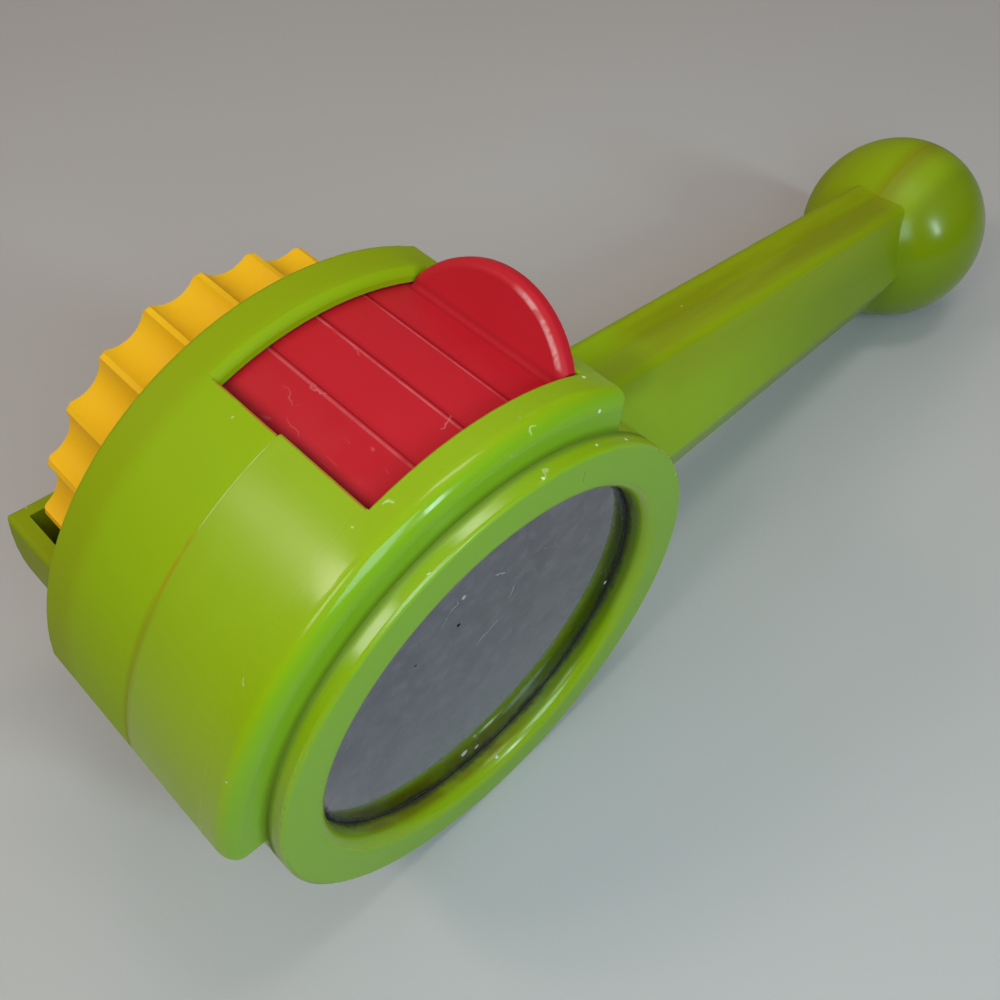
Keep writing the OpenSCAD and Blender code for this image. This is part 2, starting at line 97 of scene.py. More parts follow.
# Lamps: name, way from the toy, distance, width and height in metres, power in watts, colour
LAMPS = (
    ("window light", (-0.548, 0.398, 0.735), 0.40, 0.10, 0.07, 0.28, (1.0, 0.89, 0.74)),
    ("side light", (-0.645, -0.096, 0.760), 0.41, 0.06, 0.14, 0.205, (1.0, 0.98, 0.90)),
    ("top light", (0.190, -0.104, 0.976), 0.385, 0.06, 0.14, 0.215, (1.0, 0.98, 0.90)),
    ("front light", (0.12, -0.85, 0.50), 0.60, 0.05, 0.18, 0.95, (0.72, 0.97, 1.0)),
    ("left light", (-0.366, -0.634, 0.683), 0.205, 0.08, 0.10, 0.165, (0.64, 0.96, 1.0)),
)
LAMPS_AIM = Vector((0.03, -0.03, 0.01))

# Glows of the sky: way, where the glow starts and is full as a cosine, colour
GLOWS = (
    ((0.0, 0.0, 1.0), 0.35, 1.00, (0.24, 0.23, 0.19, 1.0)),
    ((0.0, 0.8, 0.6), 0.20, 0.95, (0.34, 0.28, 0.25, 1.0)),
)


# Settings that a user would change

class HandMirrorSizes(bpy.types.PropertyGroup):
    """Sizes of the toy that its finishes and loose pieces follow"""
    tilt: bpy.props.FloatProperty(
        name="Resting tilt", description="Slope of the handle as the toy lies on its case and ball",
        default=math.asin(15.3 / 114.4), subtype="ANGLE")
    axis_height: bpy.props.FloatProperty(
        name="Axis height", description="Height of the drum axis above the middle of the rear plate",
        default=12.95 * MM, unit="LENGTH")
    parting: bpy.props.FloatProperty(
        name="Parting plane", description="Height of the seam between the two shells above the rear face",
        default=33.7 * MM, unit="LENGTH")
    front: bpy.props.FloatProperty(
        name="Case front", description="Height of the case's front face above the rear face",
        default=50.0 * MM, unit="LENGTH")
    case_radius: bpy.props.FloatProperty(
        name="Case radius", description="Outer radius of the round case and the ring",
        default=30.3 * MM, unit="LENGTH")
    hood_radius: bpy.props.FloatProperty(
        name="Hood radius", description="Outer radius of the hood", default=35.0 * MM, unit="LENGTH")
    opening_radius: bpy.props.FloatProperty(
        name="Mirror opening", description="Radius of the opening in the ring", default=24.3 * MM, unit="LENGTH")
    screw_head_radius: bpy.props.FloatProperty(
        name="Screw head radius", description="Radius of a screw's head", default=2.6 * MM, unit="LENGTH")
    screw_head_height: bpy.props.FloatProperty(
        name="Screw head height", description="Height of a screw's head", default=1.6 * MM, unit="LENGTH")
    screw_radius: bpy.props.FloatProperty(
        name="Screw radius", description="Radius of a screw's shank", default=1.25 * MM, unit="LENGTH")
    screw_length: bpy.props.FloatProperty(
        name="Screw length", description="Length of a screw below its head", default=11.6 * MM, unit="LENGTH")
    card_width: bpy.props.FloatProperty(
        name="Card width", description="Width of a picture card across its face of the drum",
        default=17.57 * MM, unit="LENGTH")
    card_thickness: bpy.props.FloatProperty(
        name="Card thickness", description="Thickness of a picture card", default=0.3 * MM, unit="LENGTH")


COLOUR = {"subtype": "COLOR", "min": 0, "max": 1}


class HandMirrorColours(bpy.types.PropertyGroup):
    """Colours of the toy's finishes"""
    lime: bpy.props.FloatVectorProperty(
        name="Lime plastic", description="Colour of the shells and the ring",
        default=(0.258, 0.375, 0.003), **COLOUR)
    red: bpy.props.FloatVectorProperty(
        name="Red plastic", description="Colour of the shutter", default=(0.495, 0.009, 0.019), **COLOUR)
    yellow: bpy.props.FloatVectorProperty(
        name="Yellow plastic", description="Colour of the thumb wheel", default=(0.900, 0.495, 0.005), **COLOUR)
    mirror: bpy.props.FloatVectorProperty(
        name="Mirror coating", description="Colour of the mirror's reflection",
        default=(0.262, 0.253, 0.303), **COLOUR)
    white: bpy.props.FloatVectorProperty(
        name="White plastic", description="Colour of the picture drum", default=(0.780, 0.770, 0.720), **COLOUR)
    floor: bpy.props.FloatVectorProperty(
        name="Floor", description="Colour of the floor", default=(0.470, 0.447, 0.462), **COLOUR)


def sizes():
    return bpy.context.scene.hand_mirror_sizes


def colours():
    return bpy.context.scene.hand_mirror_colours


# Building node trees

def node(tree, kind, inputs=None, **settings):
    """Adds a node, sets its options, and links or sets its inputs."""
    made = tree.nodes.new(kind)
    for key, value in settings.items():
        setattr(made, key, value)
    for key, value in (inputs or {}).items():
        if isinstance(value, bpy.types.NodeSocket):
            tree.links.new(value, made.inputs[key])
        else:
            made.inputs[key].default_value = value
    return made


def flow(tree, kind, inputs=None, **settings):
    """Adds a node and gives its first output."""
    return node(tree, kind, inputs, **settings).outputs[0]


def tree_of(*values):
    """Node tree of the first socket among some values."""
    return next(value.id_data for value in values if isinstance(value, bpy.types.NodeSocket))


def calc(operation, a, b=0.0, c=0.0):
    """One step of arithmetic."""
    return flow(tree_of(a, b, c), "ShaderNodeMath", {0: a, 1: b, 2: c}, operation=operation)


def ramp(value, low, high, start=0.0, end=1.0, kind="SMOOTHSTEP"):
    """Step from start to end as the value goes from low to high, soft unless its kind says otherwise."""
    return flow(tree_of(value), "ShaderNodeMapRange",
                {"Value": value, "From Min": low, "From Max": high, "To Min": start, "To Max": end},
                interpolation_type=kind)


def fall(value, low, high):
    """Soft step from 1 to 0 as the value goes from low to high."""
    return ramp(value, low, high, 1.0, 0.0)


def band(value, centre, half, soft):
    """1 within half of the centre, fading to 0 over the soft width."""
    return fall(calc("ABSOLUTE", calc("SUBTRACT", value, centre)), half, half + soft)


def both(*masks):
    """Product of masks."""
    total = masks[0]
    for mask in masks[1:]:
        total = calc("MULTIPLY", total, mask)
    return total


def either(*masks):
    """Greatest of masks."""
    total = masks[0]
    for mask in masks[1:]:
        total = calc("MAXIMUM", total, mask)
    return total


def long_side(a, b):
    """Side across from the right angle between two sides."""
    return calc("SQRT", calc("ADD", calc("MULTIPLY", a, a), calc("MULTIPLY", b, b)))


def from_nearest(value, start, pitch):
    """Distance from the nearest place of an even row."""
    step = calc("DIVIDE", calc("SUBTRACT", value, start), pitch)
    return calc("MULTIPLY", calc("SUBTRACT", step, calc("ROUND", step)), pitch)


def mix_colour(factor, a, b, blend="MIX"):
    """Blend of two colours."""
    return node(tree_of(factor, a, b), "ShaderNodeMix", {0: factor, 6: a, 7: b},
                data_type="RGBA", blend_type=blend).outputs[2]


def mix_value(factor, a, b):
    """Blend of two numbers."""
    return flow(tree_of(factor), "ShaderNodeMix", {0: factor, 2: a, 3: b}, data_type="FLOAT")


def noise(vector, spacing, detail=2.0, distortion=0.0):
    """Soft noise whose lumps are about one spacing apart, in millimetres."""
    return flow(tree_of(vector), "ShaderNodeTexNoise",
                {"Vector": vector, "Scale": 1.0 / spacing, "Detail": detail, "Distortion": distortion})


def shifted(vector, x, y, z):
    """A place moved by three distances."""
    return flow(tree_of(vector), "ShaderNodeVectorMath", {0: vector, 1: (x, y, z)}, operation="ADD")


def along_axis(vector, axis):
    """How far a place lies along an axis."""
    return node(tree_of(vector), "ShaderNodeVectorMath", {0: vector, 1: axis},
                operation="DOT_PRODUCT").outputs["Value"]


def open_group(name, inputs, outputs, kind="ShaderNodeTree"):
    """An empty node group with named sockets, which hold numbers unless their name is another kind's."""
    tree = bpy.data.node_groups.new(name, kind)
    for way, labels in (("INPUT", inputs), ("OUTPUT", outputs)):
        for label in labels:
            socket = "NodeSocket" + (label if label in ("Vector", "Geometry", "Material") else "Float")
            tree.interface.new_socket(label, in_out=way, socket_type=socket)
    return tree, tree.nodes.new("NodeGroupInput"), tree.nodes.new("NodeGroupOutput")


def close_group(tree, out, results):
    """Links named results to the end of a group."""
    for label, socket in results.items():
        tree.links.new(socket, out.inputs[label])
    return tree


# Shader groups that several finishes share

def drum_place_group():
    """Place on the toy in millimetres: along the handle, up, round the drum and above the rear face."""
    tree, into, out = open_group("drum place", ("Vector",), ("Vector", "Along", "Up", "Radius", "Angle", "Depth"))
    laid = flow(tree, "ShaderNodeMapping",
                {"Vector": into.outputs["Vector"], "Location": (0, 0, -sizes().axis_height / MM),
                 "Rotation": (0, -sizes().tilt, 0), "Scale": (1 / MM, 1 / MM, 1 / MM)})
    along, back, up = node(tree, "ShaderNodeSeparateXYZ", {0: laid}).outputs
    radius = long_side(along, up)
    angle = calc("DEGREES", calc("ARCTAN2", up, along))
    depth = calc("MULTIPLY", back, -1.0)
    return close_group(tree, out, {"Vector": laid, "Along": along, "Up": up, "Radius": radius,
                                   "Angle": angle, "Depth": depth})


def scratch_group():
    """Fine hair scratches in three directions, broken into short runs."""
    tree, into, out = open_group("hair scratches", ("Vector", "Fineness", "Width", "Share"), ("Mask",))
    vector, fineness, width, share, _ = into.outputs
    layers = []
    for i, turn in enumerate(((0.4, 0.9, 0.3), (1.3, 0.2, 2.1), (2.3, 1.7, 0.8))):
        start = (17.0 * i, 5.0 * i, 9.0)
        turned = flow(tree, "ShaderNodeMapping",
                      {"Vector": vector, "Location": start, "Rotation": turn, "Scale": (1.0, 0.10, 1.0)})
        field = flow(tree, "ShaderNodeTexNoise",
                     {"Vector": turned, "Scale": fineness, "Detail": 1.0, "Distortion": 0.25})
        away = calc("ABSOLUTE", calc("SUBTRACT", field, 0.5))
        line = fall(calc("DIVIDE", away, width), 0.3, 1.0)
        apart = shifted(vector, 31.0 * i, 3.0, 11.0 * i)
        where = flow(tree, "ShaderNodeTexNoise", {"Vector": apart, "Scale": fineness, "Detail": 2.0})
        edge = calc("SUBTRACT", 1.0, calc("MULTIPLY", share, 0.5))
        run = ramp(calc("SUBTRACT", where, calc("SUBTRACT", edge, 0.18)), 0.0, 0.06)
        layers.append(both(line, run))
    return close_group(tree, out, {"Mask": either(*layers)})


def speck_group():
    """Scattered specks of uneven size."""
    tree, into, out = open_group("specks", ("Vector", "Density", "Size", "Share"), ("Mask",))
    vector, density, full_size, share, _ = into.outputs
    bend = node(tree, "ShaderNodeTexNoise", {"Vector": vector, "Scale": 3.0, "Detail": 1.0}).outputs["Color"]
    bent = flow(tree, "ShaderNodeVectorMath", {0: vector, 1: bend}, operation="ADD")
    cells = node(tree, "ShaderNodeTexVoronoi", {"Vector": bent, "Scale": density})
    chance = node(tree, "ShaderNodeSeparateColor", {0: cells.outputs["Color"]})
    size = calc("MULTIPLY", full_size, ramp(chance.outputs[1], 0.0, 1.0, 0.35, 1.0))
    dot = fall(calc("DIVIDE", cells.outputs["Distance"], size), 0.55, 1.0)
    kept = calc("LESS_THAN", chance.outputs[0], share)
    return close_group(tree, out, {"Mask": both(dot, kept)})


def moulded_group():
    """Handled moulded plastic: broad faded patches, fine mottle and the skin left by the mould."""
    tree, into, out = open_group("moulded skin", ("Vector",), ("Fade", "Mottle", "Skin"))
    vector = into.outputs["Vector"]
    fade = ramp(noise(vector, 24.0, 2.0), 0.35, 0.70)
    mottle = ramp(noise(shifted(vector, 40.0, 3.0, 7.0), 5.0, 4.0, 0.4), 0.30, 0.70)
    skin = noise(vector, 1.3, 2.0)
    return close_group(tree, out, {"Fade": fade, "Mottle": mottle, "Skin": skin})


GROUP_MAKERS = {"drum place": drum_place_group, "hair scratches": scratch_group,
                "specks": speck_group, "moulded skin": moulded_group}


def use_group(tree, name, inputs):
    """Places a shared group, which is built at its first use."""
    group = bpy.data.node_groups.get(name) or GROUP_MAKERS[name]()
    return node(tree, "ShaderNodeGroup", inputs, node_tree=group).outputs


# One finish: layers of colour, roughness and height over a base

class Finish:
    """A material built up in layers, with masks from the place on the toy."""

    def __init__(self, name, colour, roughness, metallic=0.0, specular=0.4):
        self.material = bpy.data.materials.new(name)
        self.material.use_nodes = True
        self.tree = self.material.node_tree
        self.tree.nodes.clear()
        self.vector, *self.place = use_group(
            self.tree, "drum place", {"Vector": node(self.tree, "ShaderNodeTexCoord").outputs["Object"]})
        self.colour = tuple(colour) + (1.0,)
        self.roughness = roughness
        self.metallic = metallic
        self.specular = specular
        self.height = None

    def paint(self, mask, colour, amount=1.0):
        """Lays a share of a colour over a mask."""
        factor = calc("MULTIPLY", mask, amount)
        self.colour = mix_colour(factor, self.colour, tuple(colour) + (1.0,))

    def roughen(self, mask, value, amount=1.0):
        """Brings the roughness to a value over a mask."""
        self.roughness = mix_value(calc("MULTIPLY", mask, amount), self.roughness, value)

    def dull(self, mask, amount=1.0):
        """Takes the metal away over a mask."""
        self.metallic = mix_value(calc("MULTIPLY", mask, amount), self.metallic, 0.0)

    def rise(self, mask, amount):
        """Raises the surface over a mask, in depths of the relief."""
        step = calc("MULTIPLY", mask, amount)
        self.height = step if self.height is None else calc("ADD", self.height, step)

    def noise(self, spacing, detail=2.0, shift=0.0, distortion=0.0):
        """Soft noise on the toy. A shift picks another part of it."""
        return noise(shifted(self.vector, shift, 0.7 * shift, 0.3 * shift), spacing, detail, distortion)

    def ragged(self, value, broad, fine, shift):
        """A measure of place, made uneven by broad and fine noise."""
        large = calc("MULTIPLY", self.noise(5.0, 1.0, shift), broad)
        small = calc("MULTIPLY", self.noise(0.8, 2.0, shift + 5.0), fine)
        return calc("ADD", value, calc("ADD", large, small))

    def scratches(self, fineness, width, share, shift=0.0):
        """Hair scratches over the whole toy."""
        return use_group(self.tree, "hair scratches",
                         {"Vector": shifted(self.vector, shift, shift, 0.0),
                          "Fineness": fineness, "Width": width, "Share": share})[0]

    def specks(self, density, size, share, shift=0.0):
        """Specks over the whole toy."""
        return use_group(self.tree, "specks",
                         {"Vector": shifted(self.vector, shift, 0.0, shift),
                          "Density": density, "Size": size, "Share": share})[0]

    def spot(self, along, depth, up, size):
        """A small ragged mark at one place on the toy."""
        away = node(self.tree, "ShaderNodeVectorMath", {0: self.vector, 1: (along, -depth, up)},
                    operation="DISTANCE").outputs["Value"]
        uneven = calc("ADD", away, calc("MULTIPLY", self.noise(0.5 * size + 0.1, 2.0, 3.0), size))
        return fall(uneven, 0.8 * size, 1.1 * size)

    def spots(self, *rows):
        """Several spots, each with its along, depth, up and size."""
        return either(*(self.spot(*row) for row in rows))

    def streak(self, facing, place, way, length, width):
        """A short wavering scratch through one place on a surface that faces a given way."""
        out = Vector(facing).normalized()
        line = (Vector(way) - out * out.dot(Vector(way))).normalized()
        drift = node(self.tree, "ShaderNodeTexNoise",
                     {"Vector": self.vector, "Scale": 0.7, "Detail": 2.0}).outputs["Color"]
        bent = flow(self.tree, "ShaderNodeVectorMath", {0: drift, 1: (WAVER, WAVER, WAVER), 2: self.vector},
                    operation="MULTIPLY_ADD")
        off = shifted(bent, -place[0] - 0.5 * WAVER, place[1] - 0.5 * WAVER, -place[2] - 0.5 * WAVER)
        run, side, high = (calc("ABSOLUTE", along_axis(off, axis)) for axis in (line, out.cross(line), out))
        return both(fall(side, 0.3 * width, width), fall(run, 0.25 * length, 0.5 * length), fall(high, 1.2, 1.8))

    def streaks(self, facing, *rows):
        """Several streaks on one surface, each with its place, way, length and width."""
        return either(*(self.streak(facing, *row) for row in rows))

    def done(self):
        """Ends the material with its shader."""
        shader = node(self.tree, "ShaderNodeBsdfPrincipled",
                      {"Base Color": self.colour, "Roughness": self.roughness, "Metallic": self.metallic})
        shader.inputs["Specular IOR Level"].default_value = self.specular
        if self.height is not None:
            relief = node(self.tree, "ShaderNodeBump",
                          {"Height": self.height, "Distance": RELIEF, "Strength": 1.0})
            self.tree.links.new(relief.outputs[0], shader.inputs["Normal"])
        out = self.tree.nodes.new("ShaderNodeOutputMaterial")
        self.tree.links.new(shader.outputs[0], out.inputs[0])
        return self.material


def handled_plastic(name, colour, paler, darker, roughness, specular=0.4):
    """Base of the toy's coloured plastics, with fading, mottle and the skin left by the mould."""
    finish = Finish(name, colour, roughness, specular=specular)
    skin = use_group(finish.tree, "moulded skin", {"Vector": finish.vector})
    finish.paint(skin["Fade"], paler, 0.14)
    finish.paint(skin["Mottle"], darker, 0.16)
    finish.roughen(skin["Fade"], roughness + 0.10)
    finish.roughen(skin["Mottle"], roughness - 0.05, 0.5)
    finish.rise(skin["Skin"], 0.30)
    return finish


def dress(name, material):
    """Gives a CAD node a finish, through its material slots."""
    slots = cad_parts[name].material_slots
    if not len(slots):
        raise RuntimeError("node " + name + " has no material slot")
    for slot in slots:
        slot.material = material


# Finishes of the pieces

def lime_base(name, roughness, specular):
    """Lime plastic before its wear and dirt."""
    lime = Vector(colours().lime)
    return handled_plastic(name, lime, lime * 1.10 + Vector((0.02, 0.02, 0.004)), lime * 0.90, roughness, specular)


def add_wear(finish, mask, shift):
    """Small white nicks where a mask says that the plastic is knocked."""
    patch = ramp(finish.noise(6.0, 2.0, shift), 0.45, 0.60)
    nick = both(mask, patch, finish.specks(0.75, 0.17, 0.22, shift + 3.0))
    finish.paint(nick, NICK_COLOUR, 0.75)
    finish.roughen(nick, 0.6)
    finish.rise(nick, -2.0)


def lime_shell(name, roughness, specular):
    """Lime plastic of a shell, with the dirt of the seam and the rub marks of the edges."""
    finish = lime_base(name, roughness, specular)
    along, up, radius, angle, depth = finish.place
    size = sizes()
    seam_at = size.parting / MM
    hood = size.hood_radius / MM
    ring = size.case_radius / MM
    front = size.front / MM
    lime = Vector(colours().lime)
    on_hood = ramp(radius, hood - 2.0, hood - 1.2)
    on_handle = both(ramp(along, 36.0, 44.0), fall(along, 100.0, 106.0))
    on_ball = ramp(along, 100.0, 104.0)
    upper = ramp(up, 2.0, 5.0)
    # The hood's front edge is polished by handling. Beside the ring it is painted a cooler green, as painted light
    # from the cool front lamps
    finish.roughen(both(on_hood, ramp(depth, 44.0, 49.0)), 0.16)
    brow_cool_light = both(ramp(depth, front - 1.5, front - 0.4), ramp(radius, ring + 0.2, ring + 0.9))
    finish.paint(brow_cool_light, (0.185, 0.370, 0.012), 0.70)
    # On top of the handle: a wash of old grime, a darker olive stripe along the seam, and painted shade at the
    # root where the hood's end wall shades it
    wash = both(on_handle, upper, fall(depth, 39.0, 41.5))
    finish.paint(wash, (0.268, 0.330, 0.001), 0.75)
    drawn = flow(finish.tree, "ShaderNodeMapping", {"Vector": finish.vector, "Scale": (0.10, 1.0, 0.3)})
    stripe = both(band(depth, seam_at + 0.7, 1.2, 5.6), on_handle, upper,
                  ramp(noise(drawn, 3.0, 3.0), 0.28, 0.62, 0.35, 1.0))
    finish.paint(stripe, (0.196, 0.212, 0.001), 0.80)
    root_shade = both(band(along, 33.5, 3.0, 6.0), ramp(up, 10.0, 14.0), ramp(depth, 30.0, 36.0))
    finish.paint(root_shade, (0.150, 0.172, 0.001), 0.60)
    # Painted shade: darker front of the handle towards the ball, and darker far side of the ball; a darker olive
    # tint on the ball's top
    outer_shade = both(ramp(depth, 38.0, 41.0), ramp(along, 46.0, 88.0))
    finish.paint(outer_shade, lime * 0.62, 0.82)
    # Painted shade on the ball's far end
    finish.paint(ramp(along, 113.0, 124.0), lime * 0.62, 0.60)
    finish.paint(both(on_ball, upper), (0.215, 0.255, 0.001), 0.25)
    finish.roughen(both(on_ball, ramp(depth, 36.0, 40.0)), 0.20)
    finish.roughen(both(on_ball, ramp(up, 7.0, 14.0)), 0.44)
    # Browner rear of the hood and the cage
    finish.paint(both(on_hood, fall(depth, 21.5, 24.5)), (0.240, 0.275, 0.001), 0.55)
    finish.paint(fall(depth, 15.5, 17.5), (0.205, 0.225, 0.001), 0.60)
    # Seam: pale near the window, rusty further down, faint elsewhere
    line = both(band(depth, seam_at, 0.04, 0.08), on_hood)
    blotch = ramp(finish.noise(3.0, 4.0, 9.0), 0.34, 0.56)
    pale = both(line, band(angle, 122.5, 6.0, 4.0))
    rusty = both(band(depth, seam_at - 0.15, 0.06, 0.26), on_hood, blotch, band(angle, 138.0, 4.0, 4.0))
    low = both(band(depth, seam_at - 0.1, 0.1, 0.8), ramp(angle, 139.0, 148.0), ramp(radius, ring - 0.5, ring))
    ball_line = both(band(depth, seam_at + 0.3, 0.15, 2.8), upper, ramp(along, 98.0, 106.0))
    finish.paint(both(line, blotch), (0.140, 0.185, 0.004), 0.15)
    finish.paint(low, (0.230, 0.235, 0.002), 0.55)
    finish.paint(both(pale, blotch), (0.56, 0.64, 0.22), 0.42)
    finish.paint(rusty, (0.380, 0.200, 0.004), 0.60)
    finish.paint(ball_line, (0.225, 0.200, 0.002), 0.60)
    finish.rise(line, -0.6)
    # Red rubbed off on the window's edges
    rear_step = ramp(depth, seam_at - 0.05, seam_at + 0.05, 0.5, 0.0)
    far_edge = band(calc("SUBTRACT", angle, rear_step), WINDOW_FAR_EDGE, 0.12, 0.20)
    low_edge = band(depth, WINDOW_FRONT_EDGE, 0.06, 0.10)
    in_angle = band(angle, WINDOW_ANGLE, WINDOW_HALF_ANGLE, 0.3)
    in_depth = band(depth, WINDOW_DEPTH, WINDOW_HALF_DEPTH, 0.3)
    rim = both(ramp(radius, hood - 0.5, hood - 0.3),
               either(both(low_edge, in_angle), both(far_edge, in_depth)),
               ramp(finish.noise(4.0, 3.0, 15.0), 0.30, 0.50))
    finish.paint(rim, (0.520, 0.105, 0.030), 0.70)
    # Dirt and painted shade in the groove where the ring meets the case
    joint = both(ramp(depth, front - 0.60, front - 0.1), fall(radius, ring + 0.05, ring + 1.3))
    finish.paint(joint, JOINT_DIRT_AND_SHADE, 0.60)
    finish.roughen(either(joint, rusty), 0.75)
    # Nicks along the hood's front edge and its end beside the handle
    front_edge = both(ramp(depth, front - 2.6, front - 1.2), ramp(radius, hood - 2.4, hood - 1.2))
    end_edge = both(band(along, 16.2, 0.5, 0.8), ramp(up, 27.0, 29.0), ramp(depth, 20.0, 24.0))
    add_wear(finish, either(front_edge, end_edge), 21.0)
    # Single scuffs and nicks on the hood
    scuffs = either(finish.spots((-14.96, 28.6, 31.6, 0.30), (-15.1, 45.8, 31.6, 0.22)),
                    finish.streak((-0.34, 0.0, 0.94), (-11.9, 46.5, 32.9), (0.5, -1.0, 0.2), 1.0, 0.12),
                    finish.streak((-0.79, 0.0, 0.62), (-27.5, 46.0, 21.7), (0.4, 0.7, 0.6), 1.2, 0.10),
                    finish.streak((0.0, -0.5, 0.87), (2.9, 49.2, 34.1), (0.6, 0.4, 0.0), 1.8, 0.20))
    finish.paint(scuffs, SCUFF_COLOUR, 0.45)
    nicks = finish.spots((13.32, 46.38, 32.37, 0.42), (11.84, 49.94, 31.34, 0.45))
    finish.paint(nicks, NICK_COLOUR, 0.75)
    finish.roughen(either(scuffs, nicks), 0.6)
    # Light handling marks everywhere
    finish.paint(finish.scratches(0.10, 0.0014, 0.42, 2.0), HAIR_COLOUR, 0.05)
    finish.paint(finish.specks(0.20, 0.040, 0.20, 8.0), (0.78, 0.84, 0.60), 0.65)
    finish.paint(finish.specks(0.17, 0.028, 0.30, 33.0), (0.050, 0.070, 0.004), 0.7)
    return finish.done()


def lime_ring():
    """Lime plastic of the mirror ring, with dirt at its foot and at the mirror's edge."""
    finish = lime_base("lime ring", 0.18, 0.46)
    _, _, radius, angle, depth = finish.place
    size = sizes()
    ring = size.case_radius / MM
    inner = size.opening_radius / MM
    front = size.front / MM
    glass = front - GLASS_SINK
    lime = Vector(colours().lime)
    # Flat face, a little duller than the rounded edges and painted a cooler green as painted light from the cool
    # front lamps, and dirt with painted groove shade at the foot
    face = ramp(depth, front + 1.95, front + 2.15)
    finish.paint(face, (lime.x * 0.80, lime.y * 1.02, 0.012), 0.8)
    finish.roughen(face, 0.42)
    foot = both(fall(depth, front + 0.02, front + 1.00), ramp(radius, ring - 1.0, ring - 0.5))
    finish.paint(foot, JOINT_DIRT_AND_SHADE, 0.60)
    # The outer wall leans outwards a little towards its foot
    lean = both(ramp(radius, ring - 0.6, ring - 0.3), ramp(depth, front, front + 1.9, 1.0, 0.0, "LINEAR"))
    finish.rise(lean, 25.0)
    # Grime in the corner between the ring's inner wall and the mirror, a stain low on the wall, and painted shade
    # on the inner wall's deep part towards the handle
    wall = fall(radius, inner + 0.1, inner + 0.9)
    grime = both(wall, fall(finish.ragged(depth, -1.0, -0.7, 4.0), glass - 0.80, glass + 0.30))
    low_wall = both(wall, fall(depth, glass + 1.2, glass + 2.3))
    # Painted shade: the inner wall towards the handle is darker green
    finish.paint(both(low_wall, band(angle, -15.0, 42.0, 30.0)), (0.085, 0.130, 0.004), 0.65)
    stain = both(low_wall, band(angle, -108.0, 24.0, 26.0),
                 ramp(finish.noise(4.0, 3.0, 14.0), 0.34, 0.58, 0.45, 1.0))
    finish.paint(stain, (0.185, 0.165, 0.003), 0.85)
    finish.paint(grime, (0.026, 0.018, 0.008), 0.88)
    finish.roughen(either(grime, foot), 0.8)
    # Nicks, a scuff and a cut, and light handling marks
    edge = both(ramp(radius, ring - 0.7, ring - 0.4), ramp(depth, front + 1.2, front + 1.6))
    add_wear(finish, edge, 51.0)
    nicks = finish.spots((15.70, 51.14, 25.91, 0.50), (10.76, 51.12, 28.32, 0.42), (2.21, 51.75, 30.22, 0.36),
                         (26.4, 52.0, 13.9, 0.50), (2.48, 51.08, -24.27, 0.40))
    finish.paint(nicks, NICK_COLOUR, 0.75)
    scuff = finish.streak((0.0, -0.7, 0.7), (2.6, 51.7, 30.2), (1.0, 0.0, 0.0), 2.6, 0.16)
    finish.paint(scuff, SCUFF_COLOUR, 0.40)
    cut = finish.streak((0.0, -1.0, 0.0), (7.90, 52.2, 26.53), (0.2, 0.0, 1.0), 1.8, 0.12)
    finish.paint(cut, (0.10, 0.14, 0.010), 0.70)
    finish.roughen(either(nicks, cut), 0.6)
    finish.paint(finish.scratches(0.12, 0.0016, 0.42, 12.0), HAIR_COLOUR, 0.05)
    finish.paint(finish.specks(0.26, 0.045, 0.20, 18.0), (0.80, 0.86, 0.62), 0.65)
    finish.paint(finish.specks(0.22, 0.035, 0.25, 43.0), (0.040, 0.055, 0.004), 0.7)
    return finish.done()


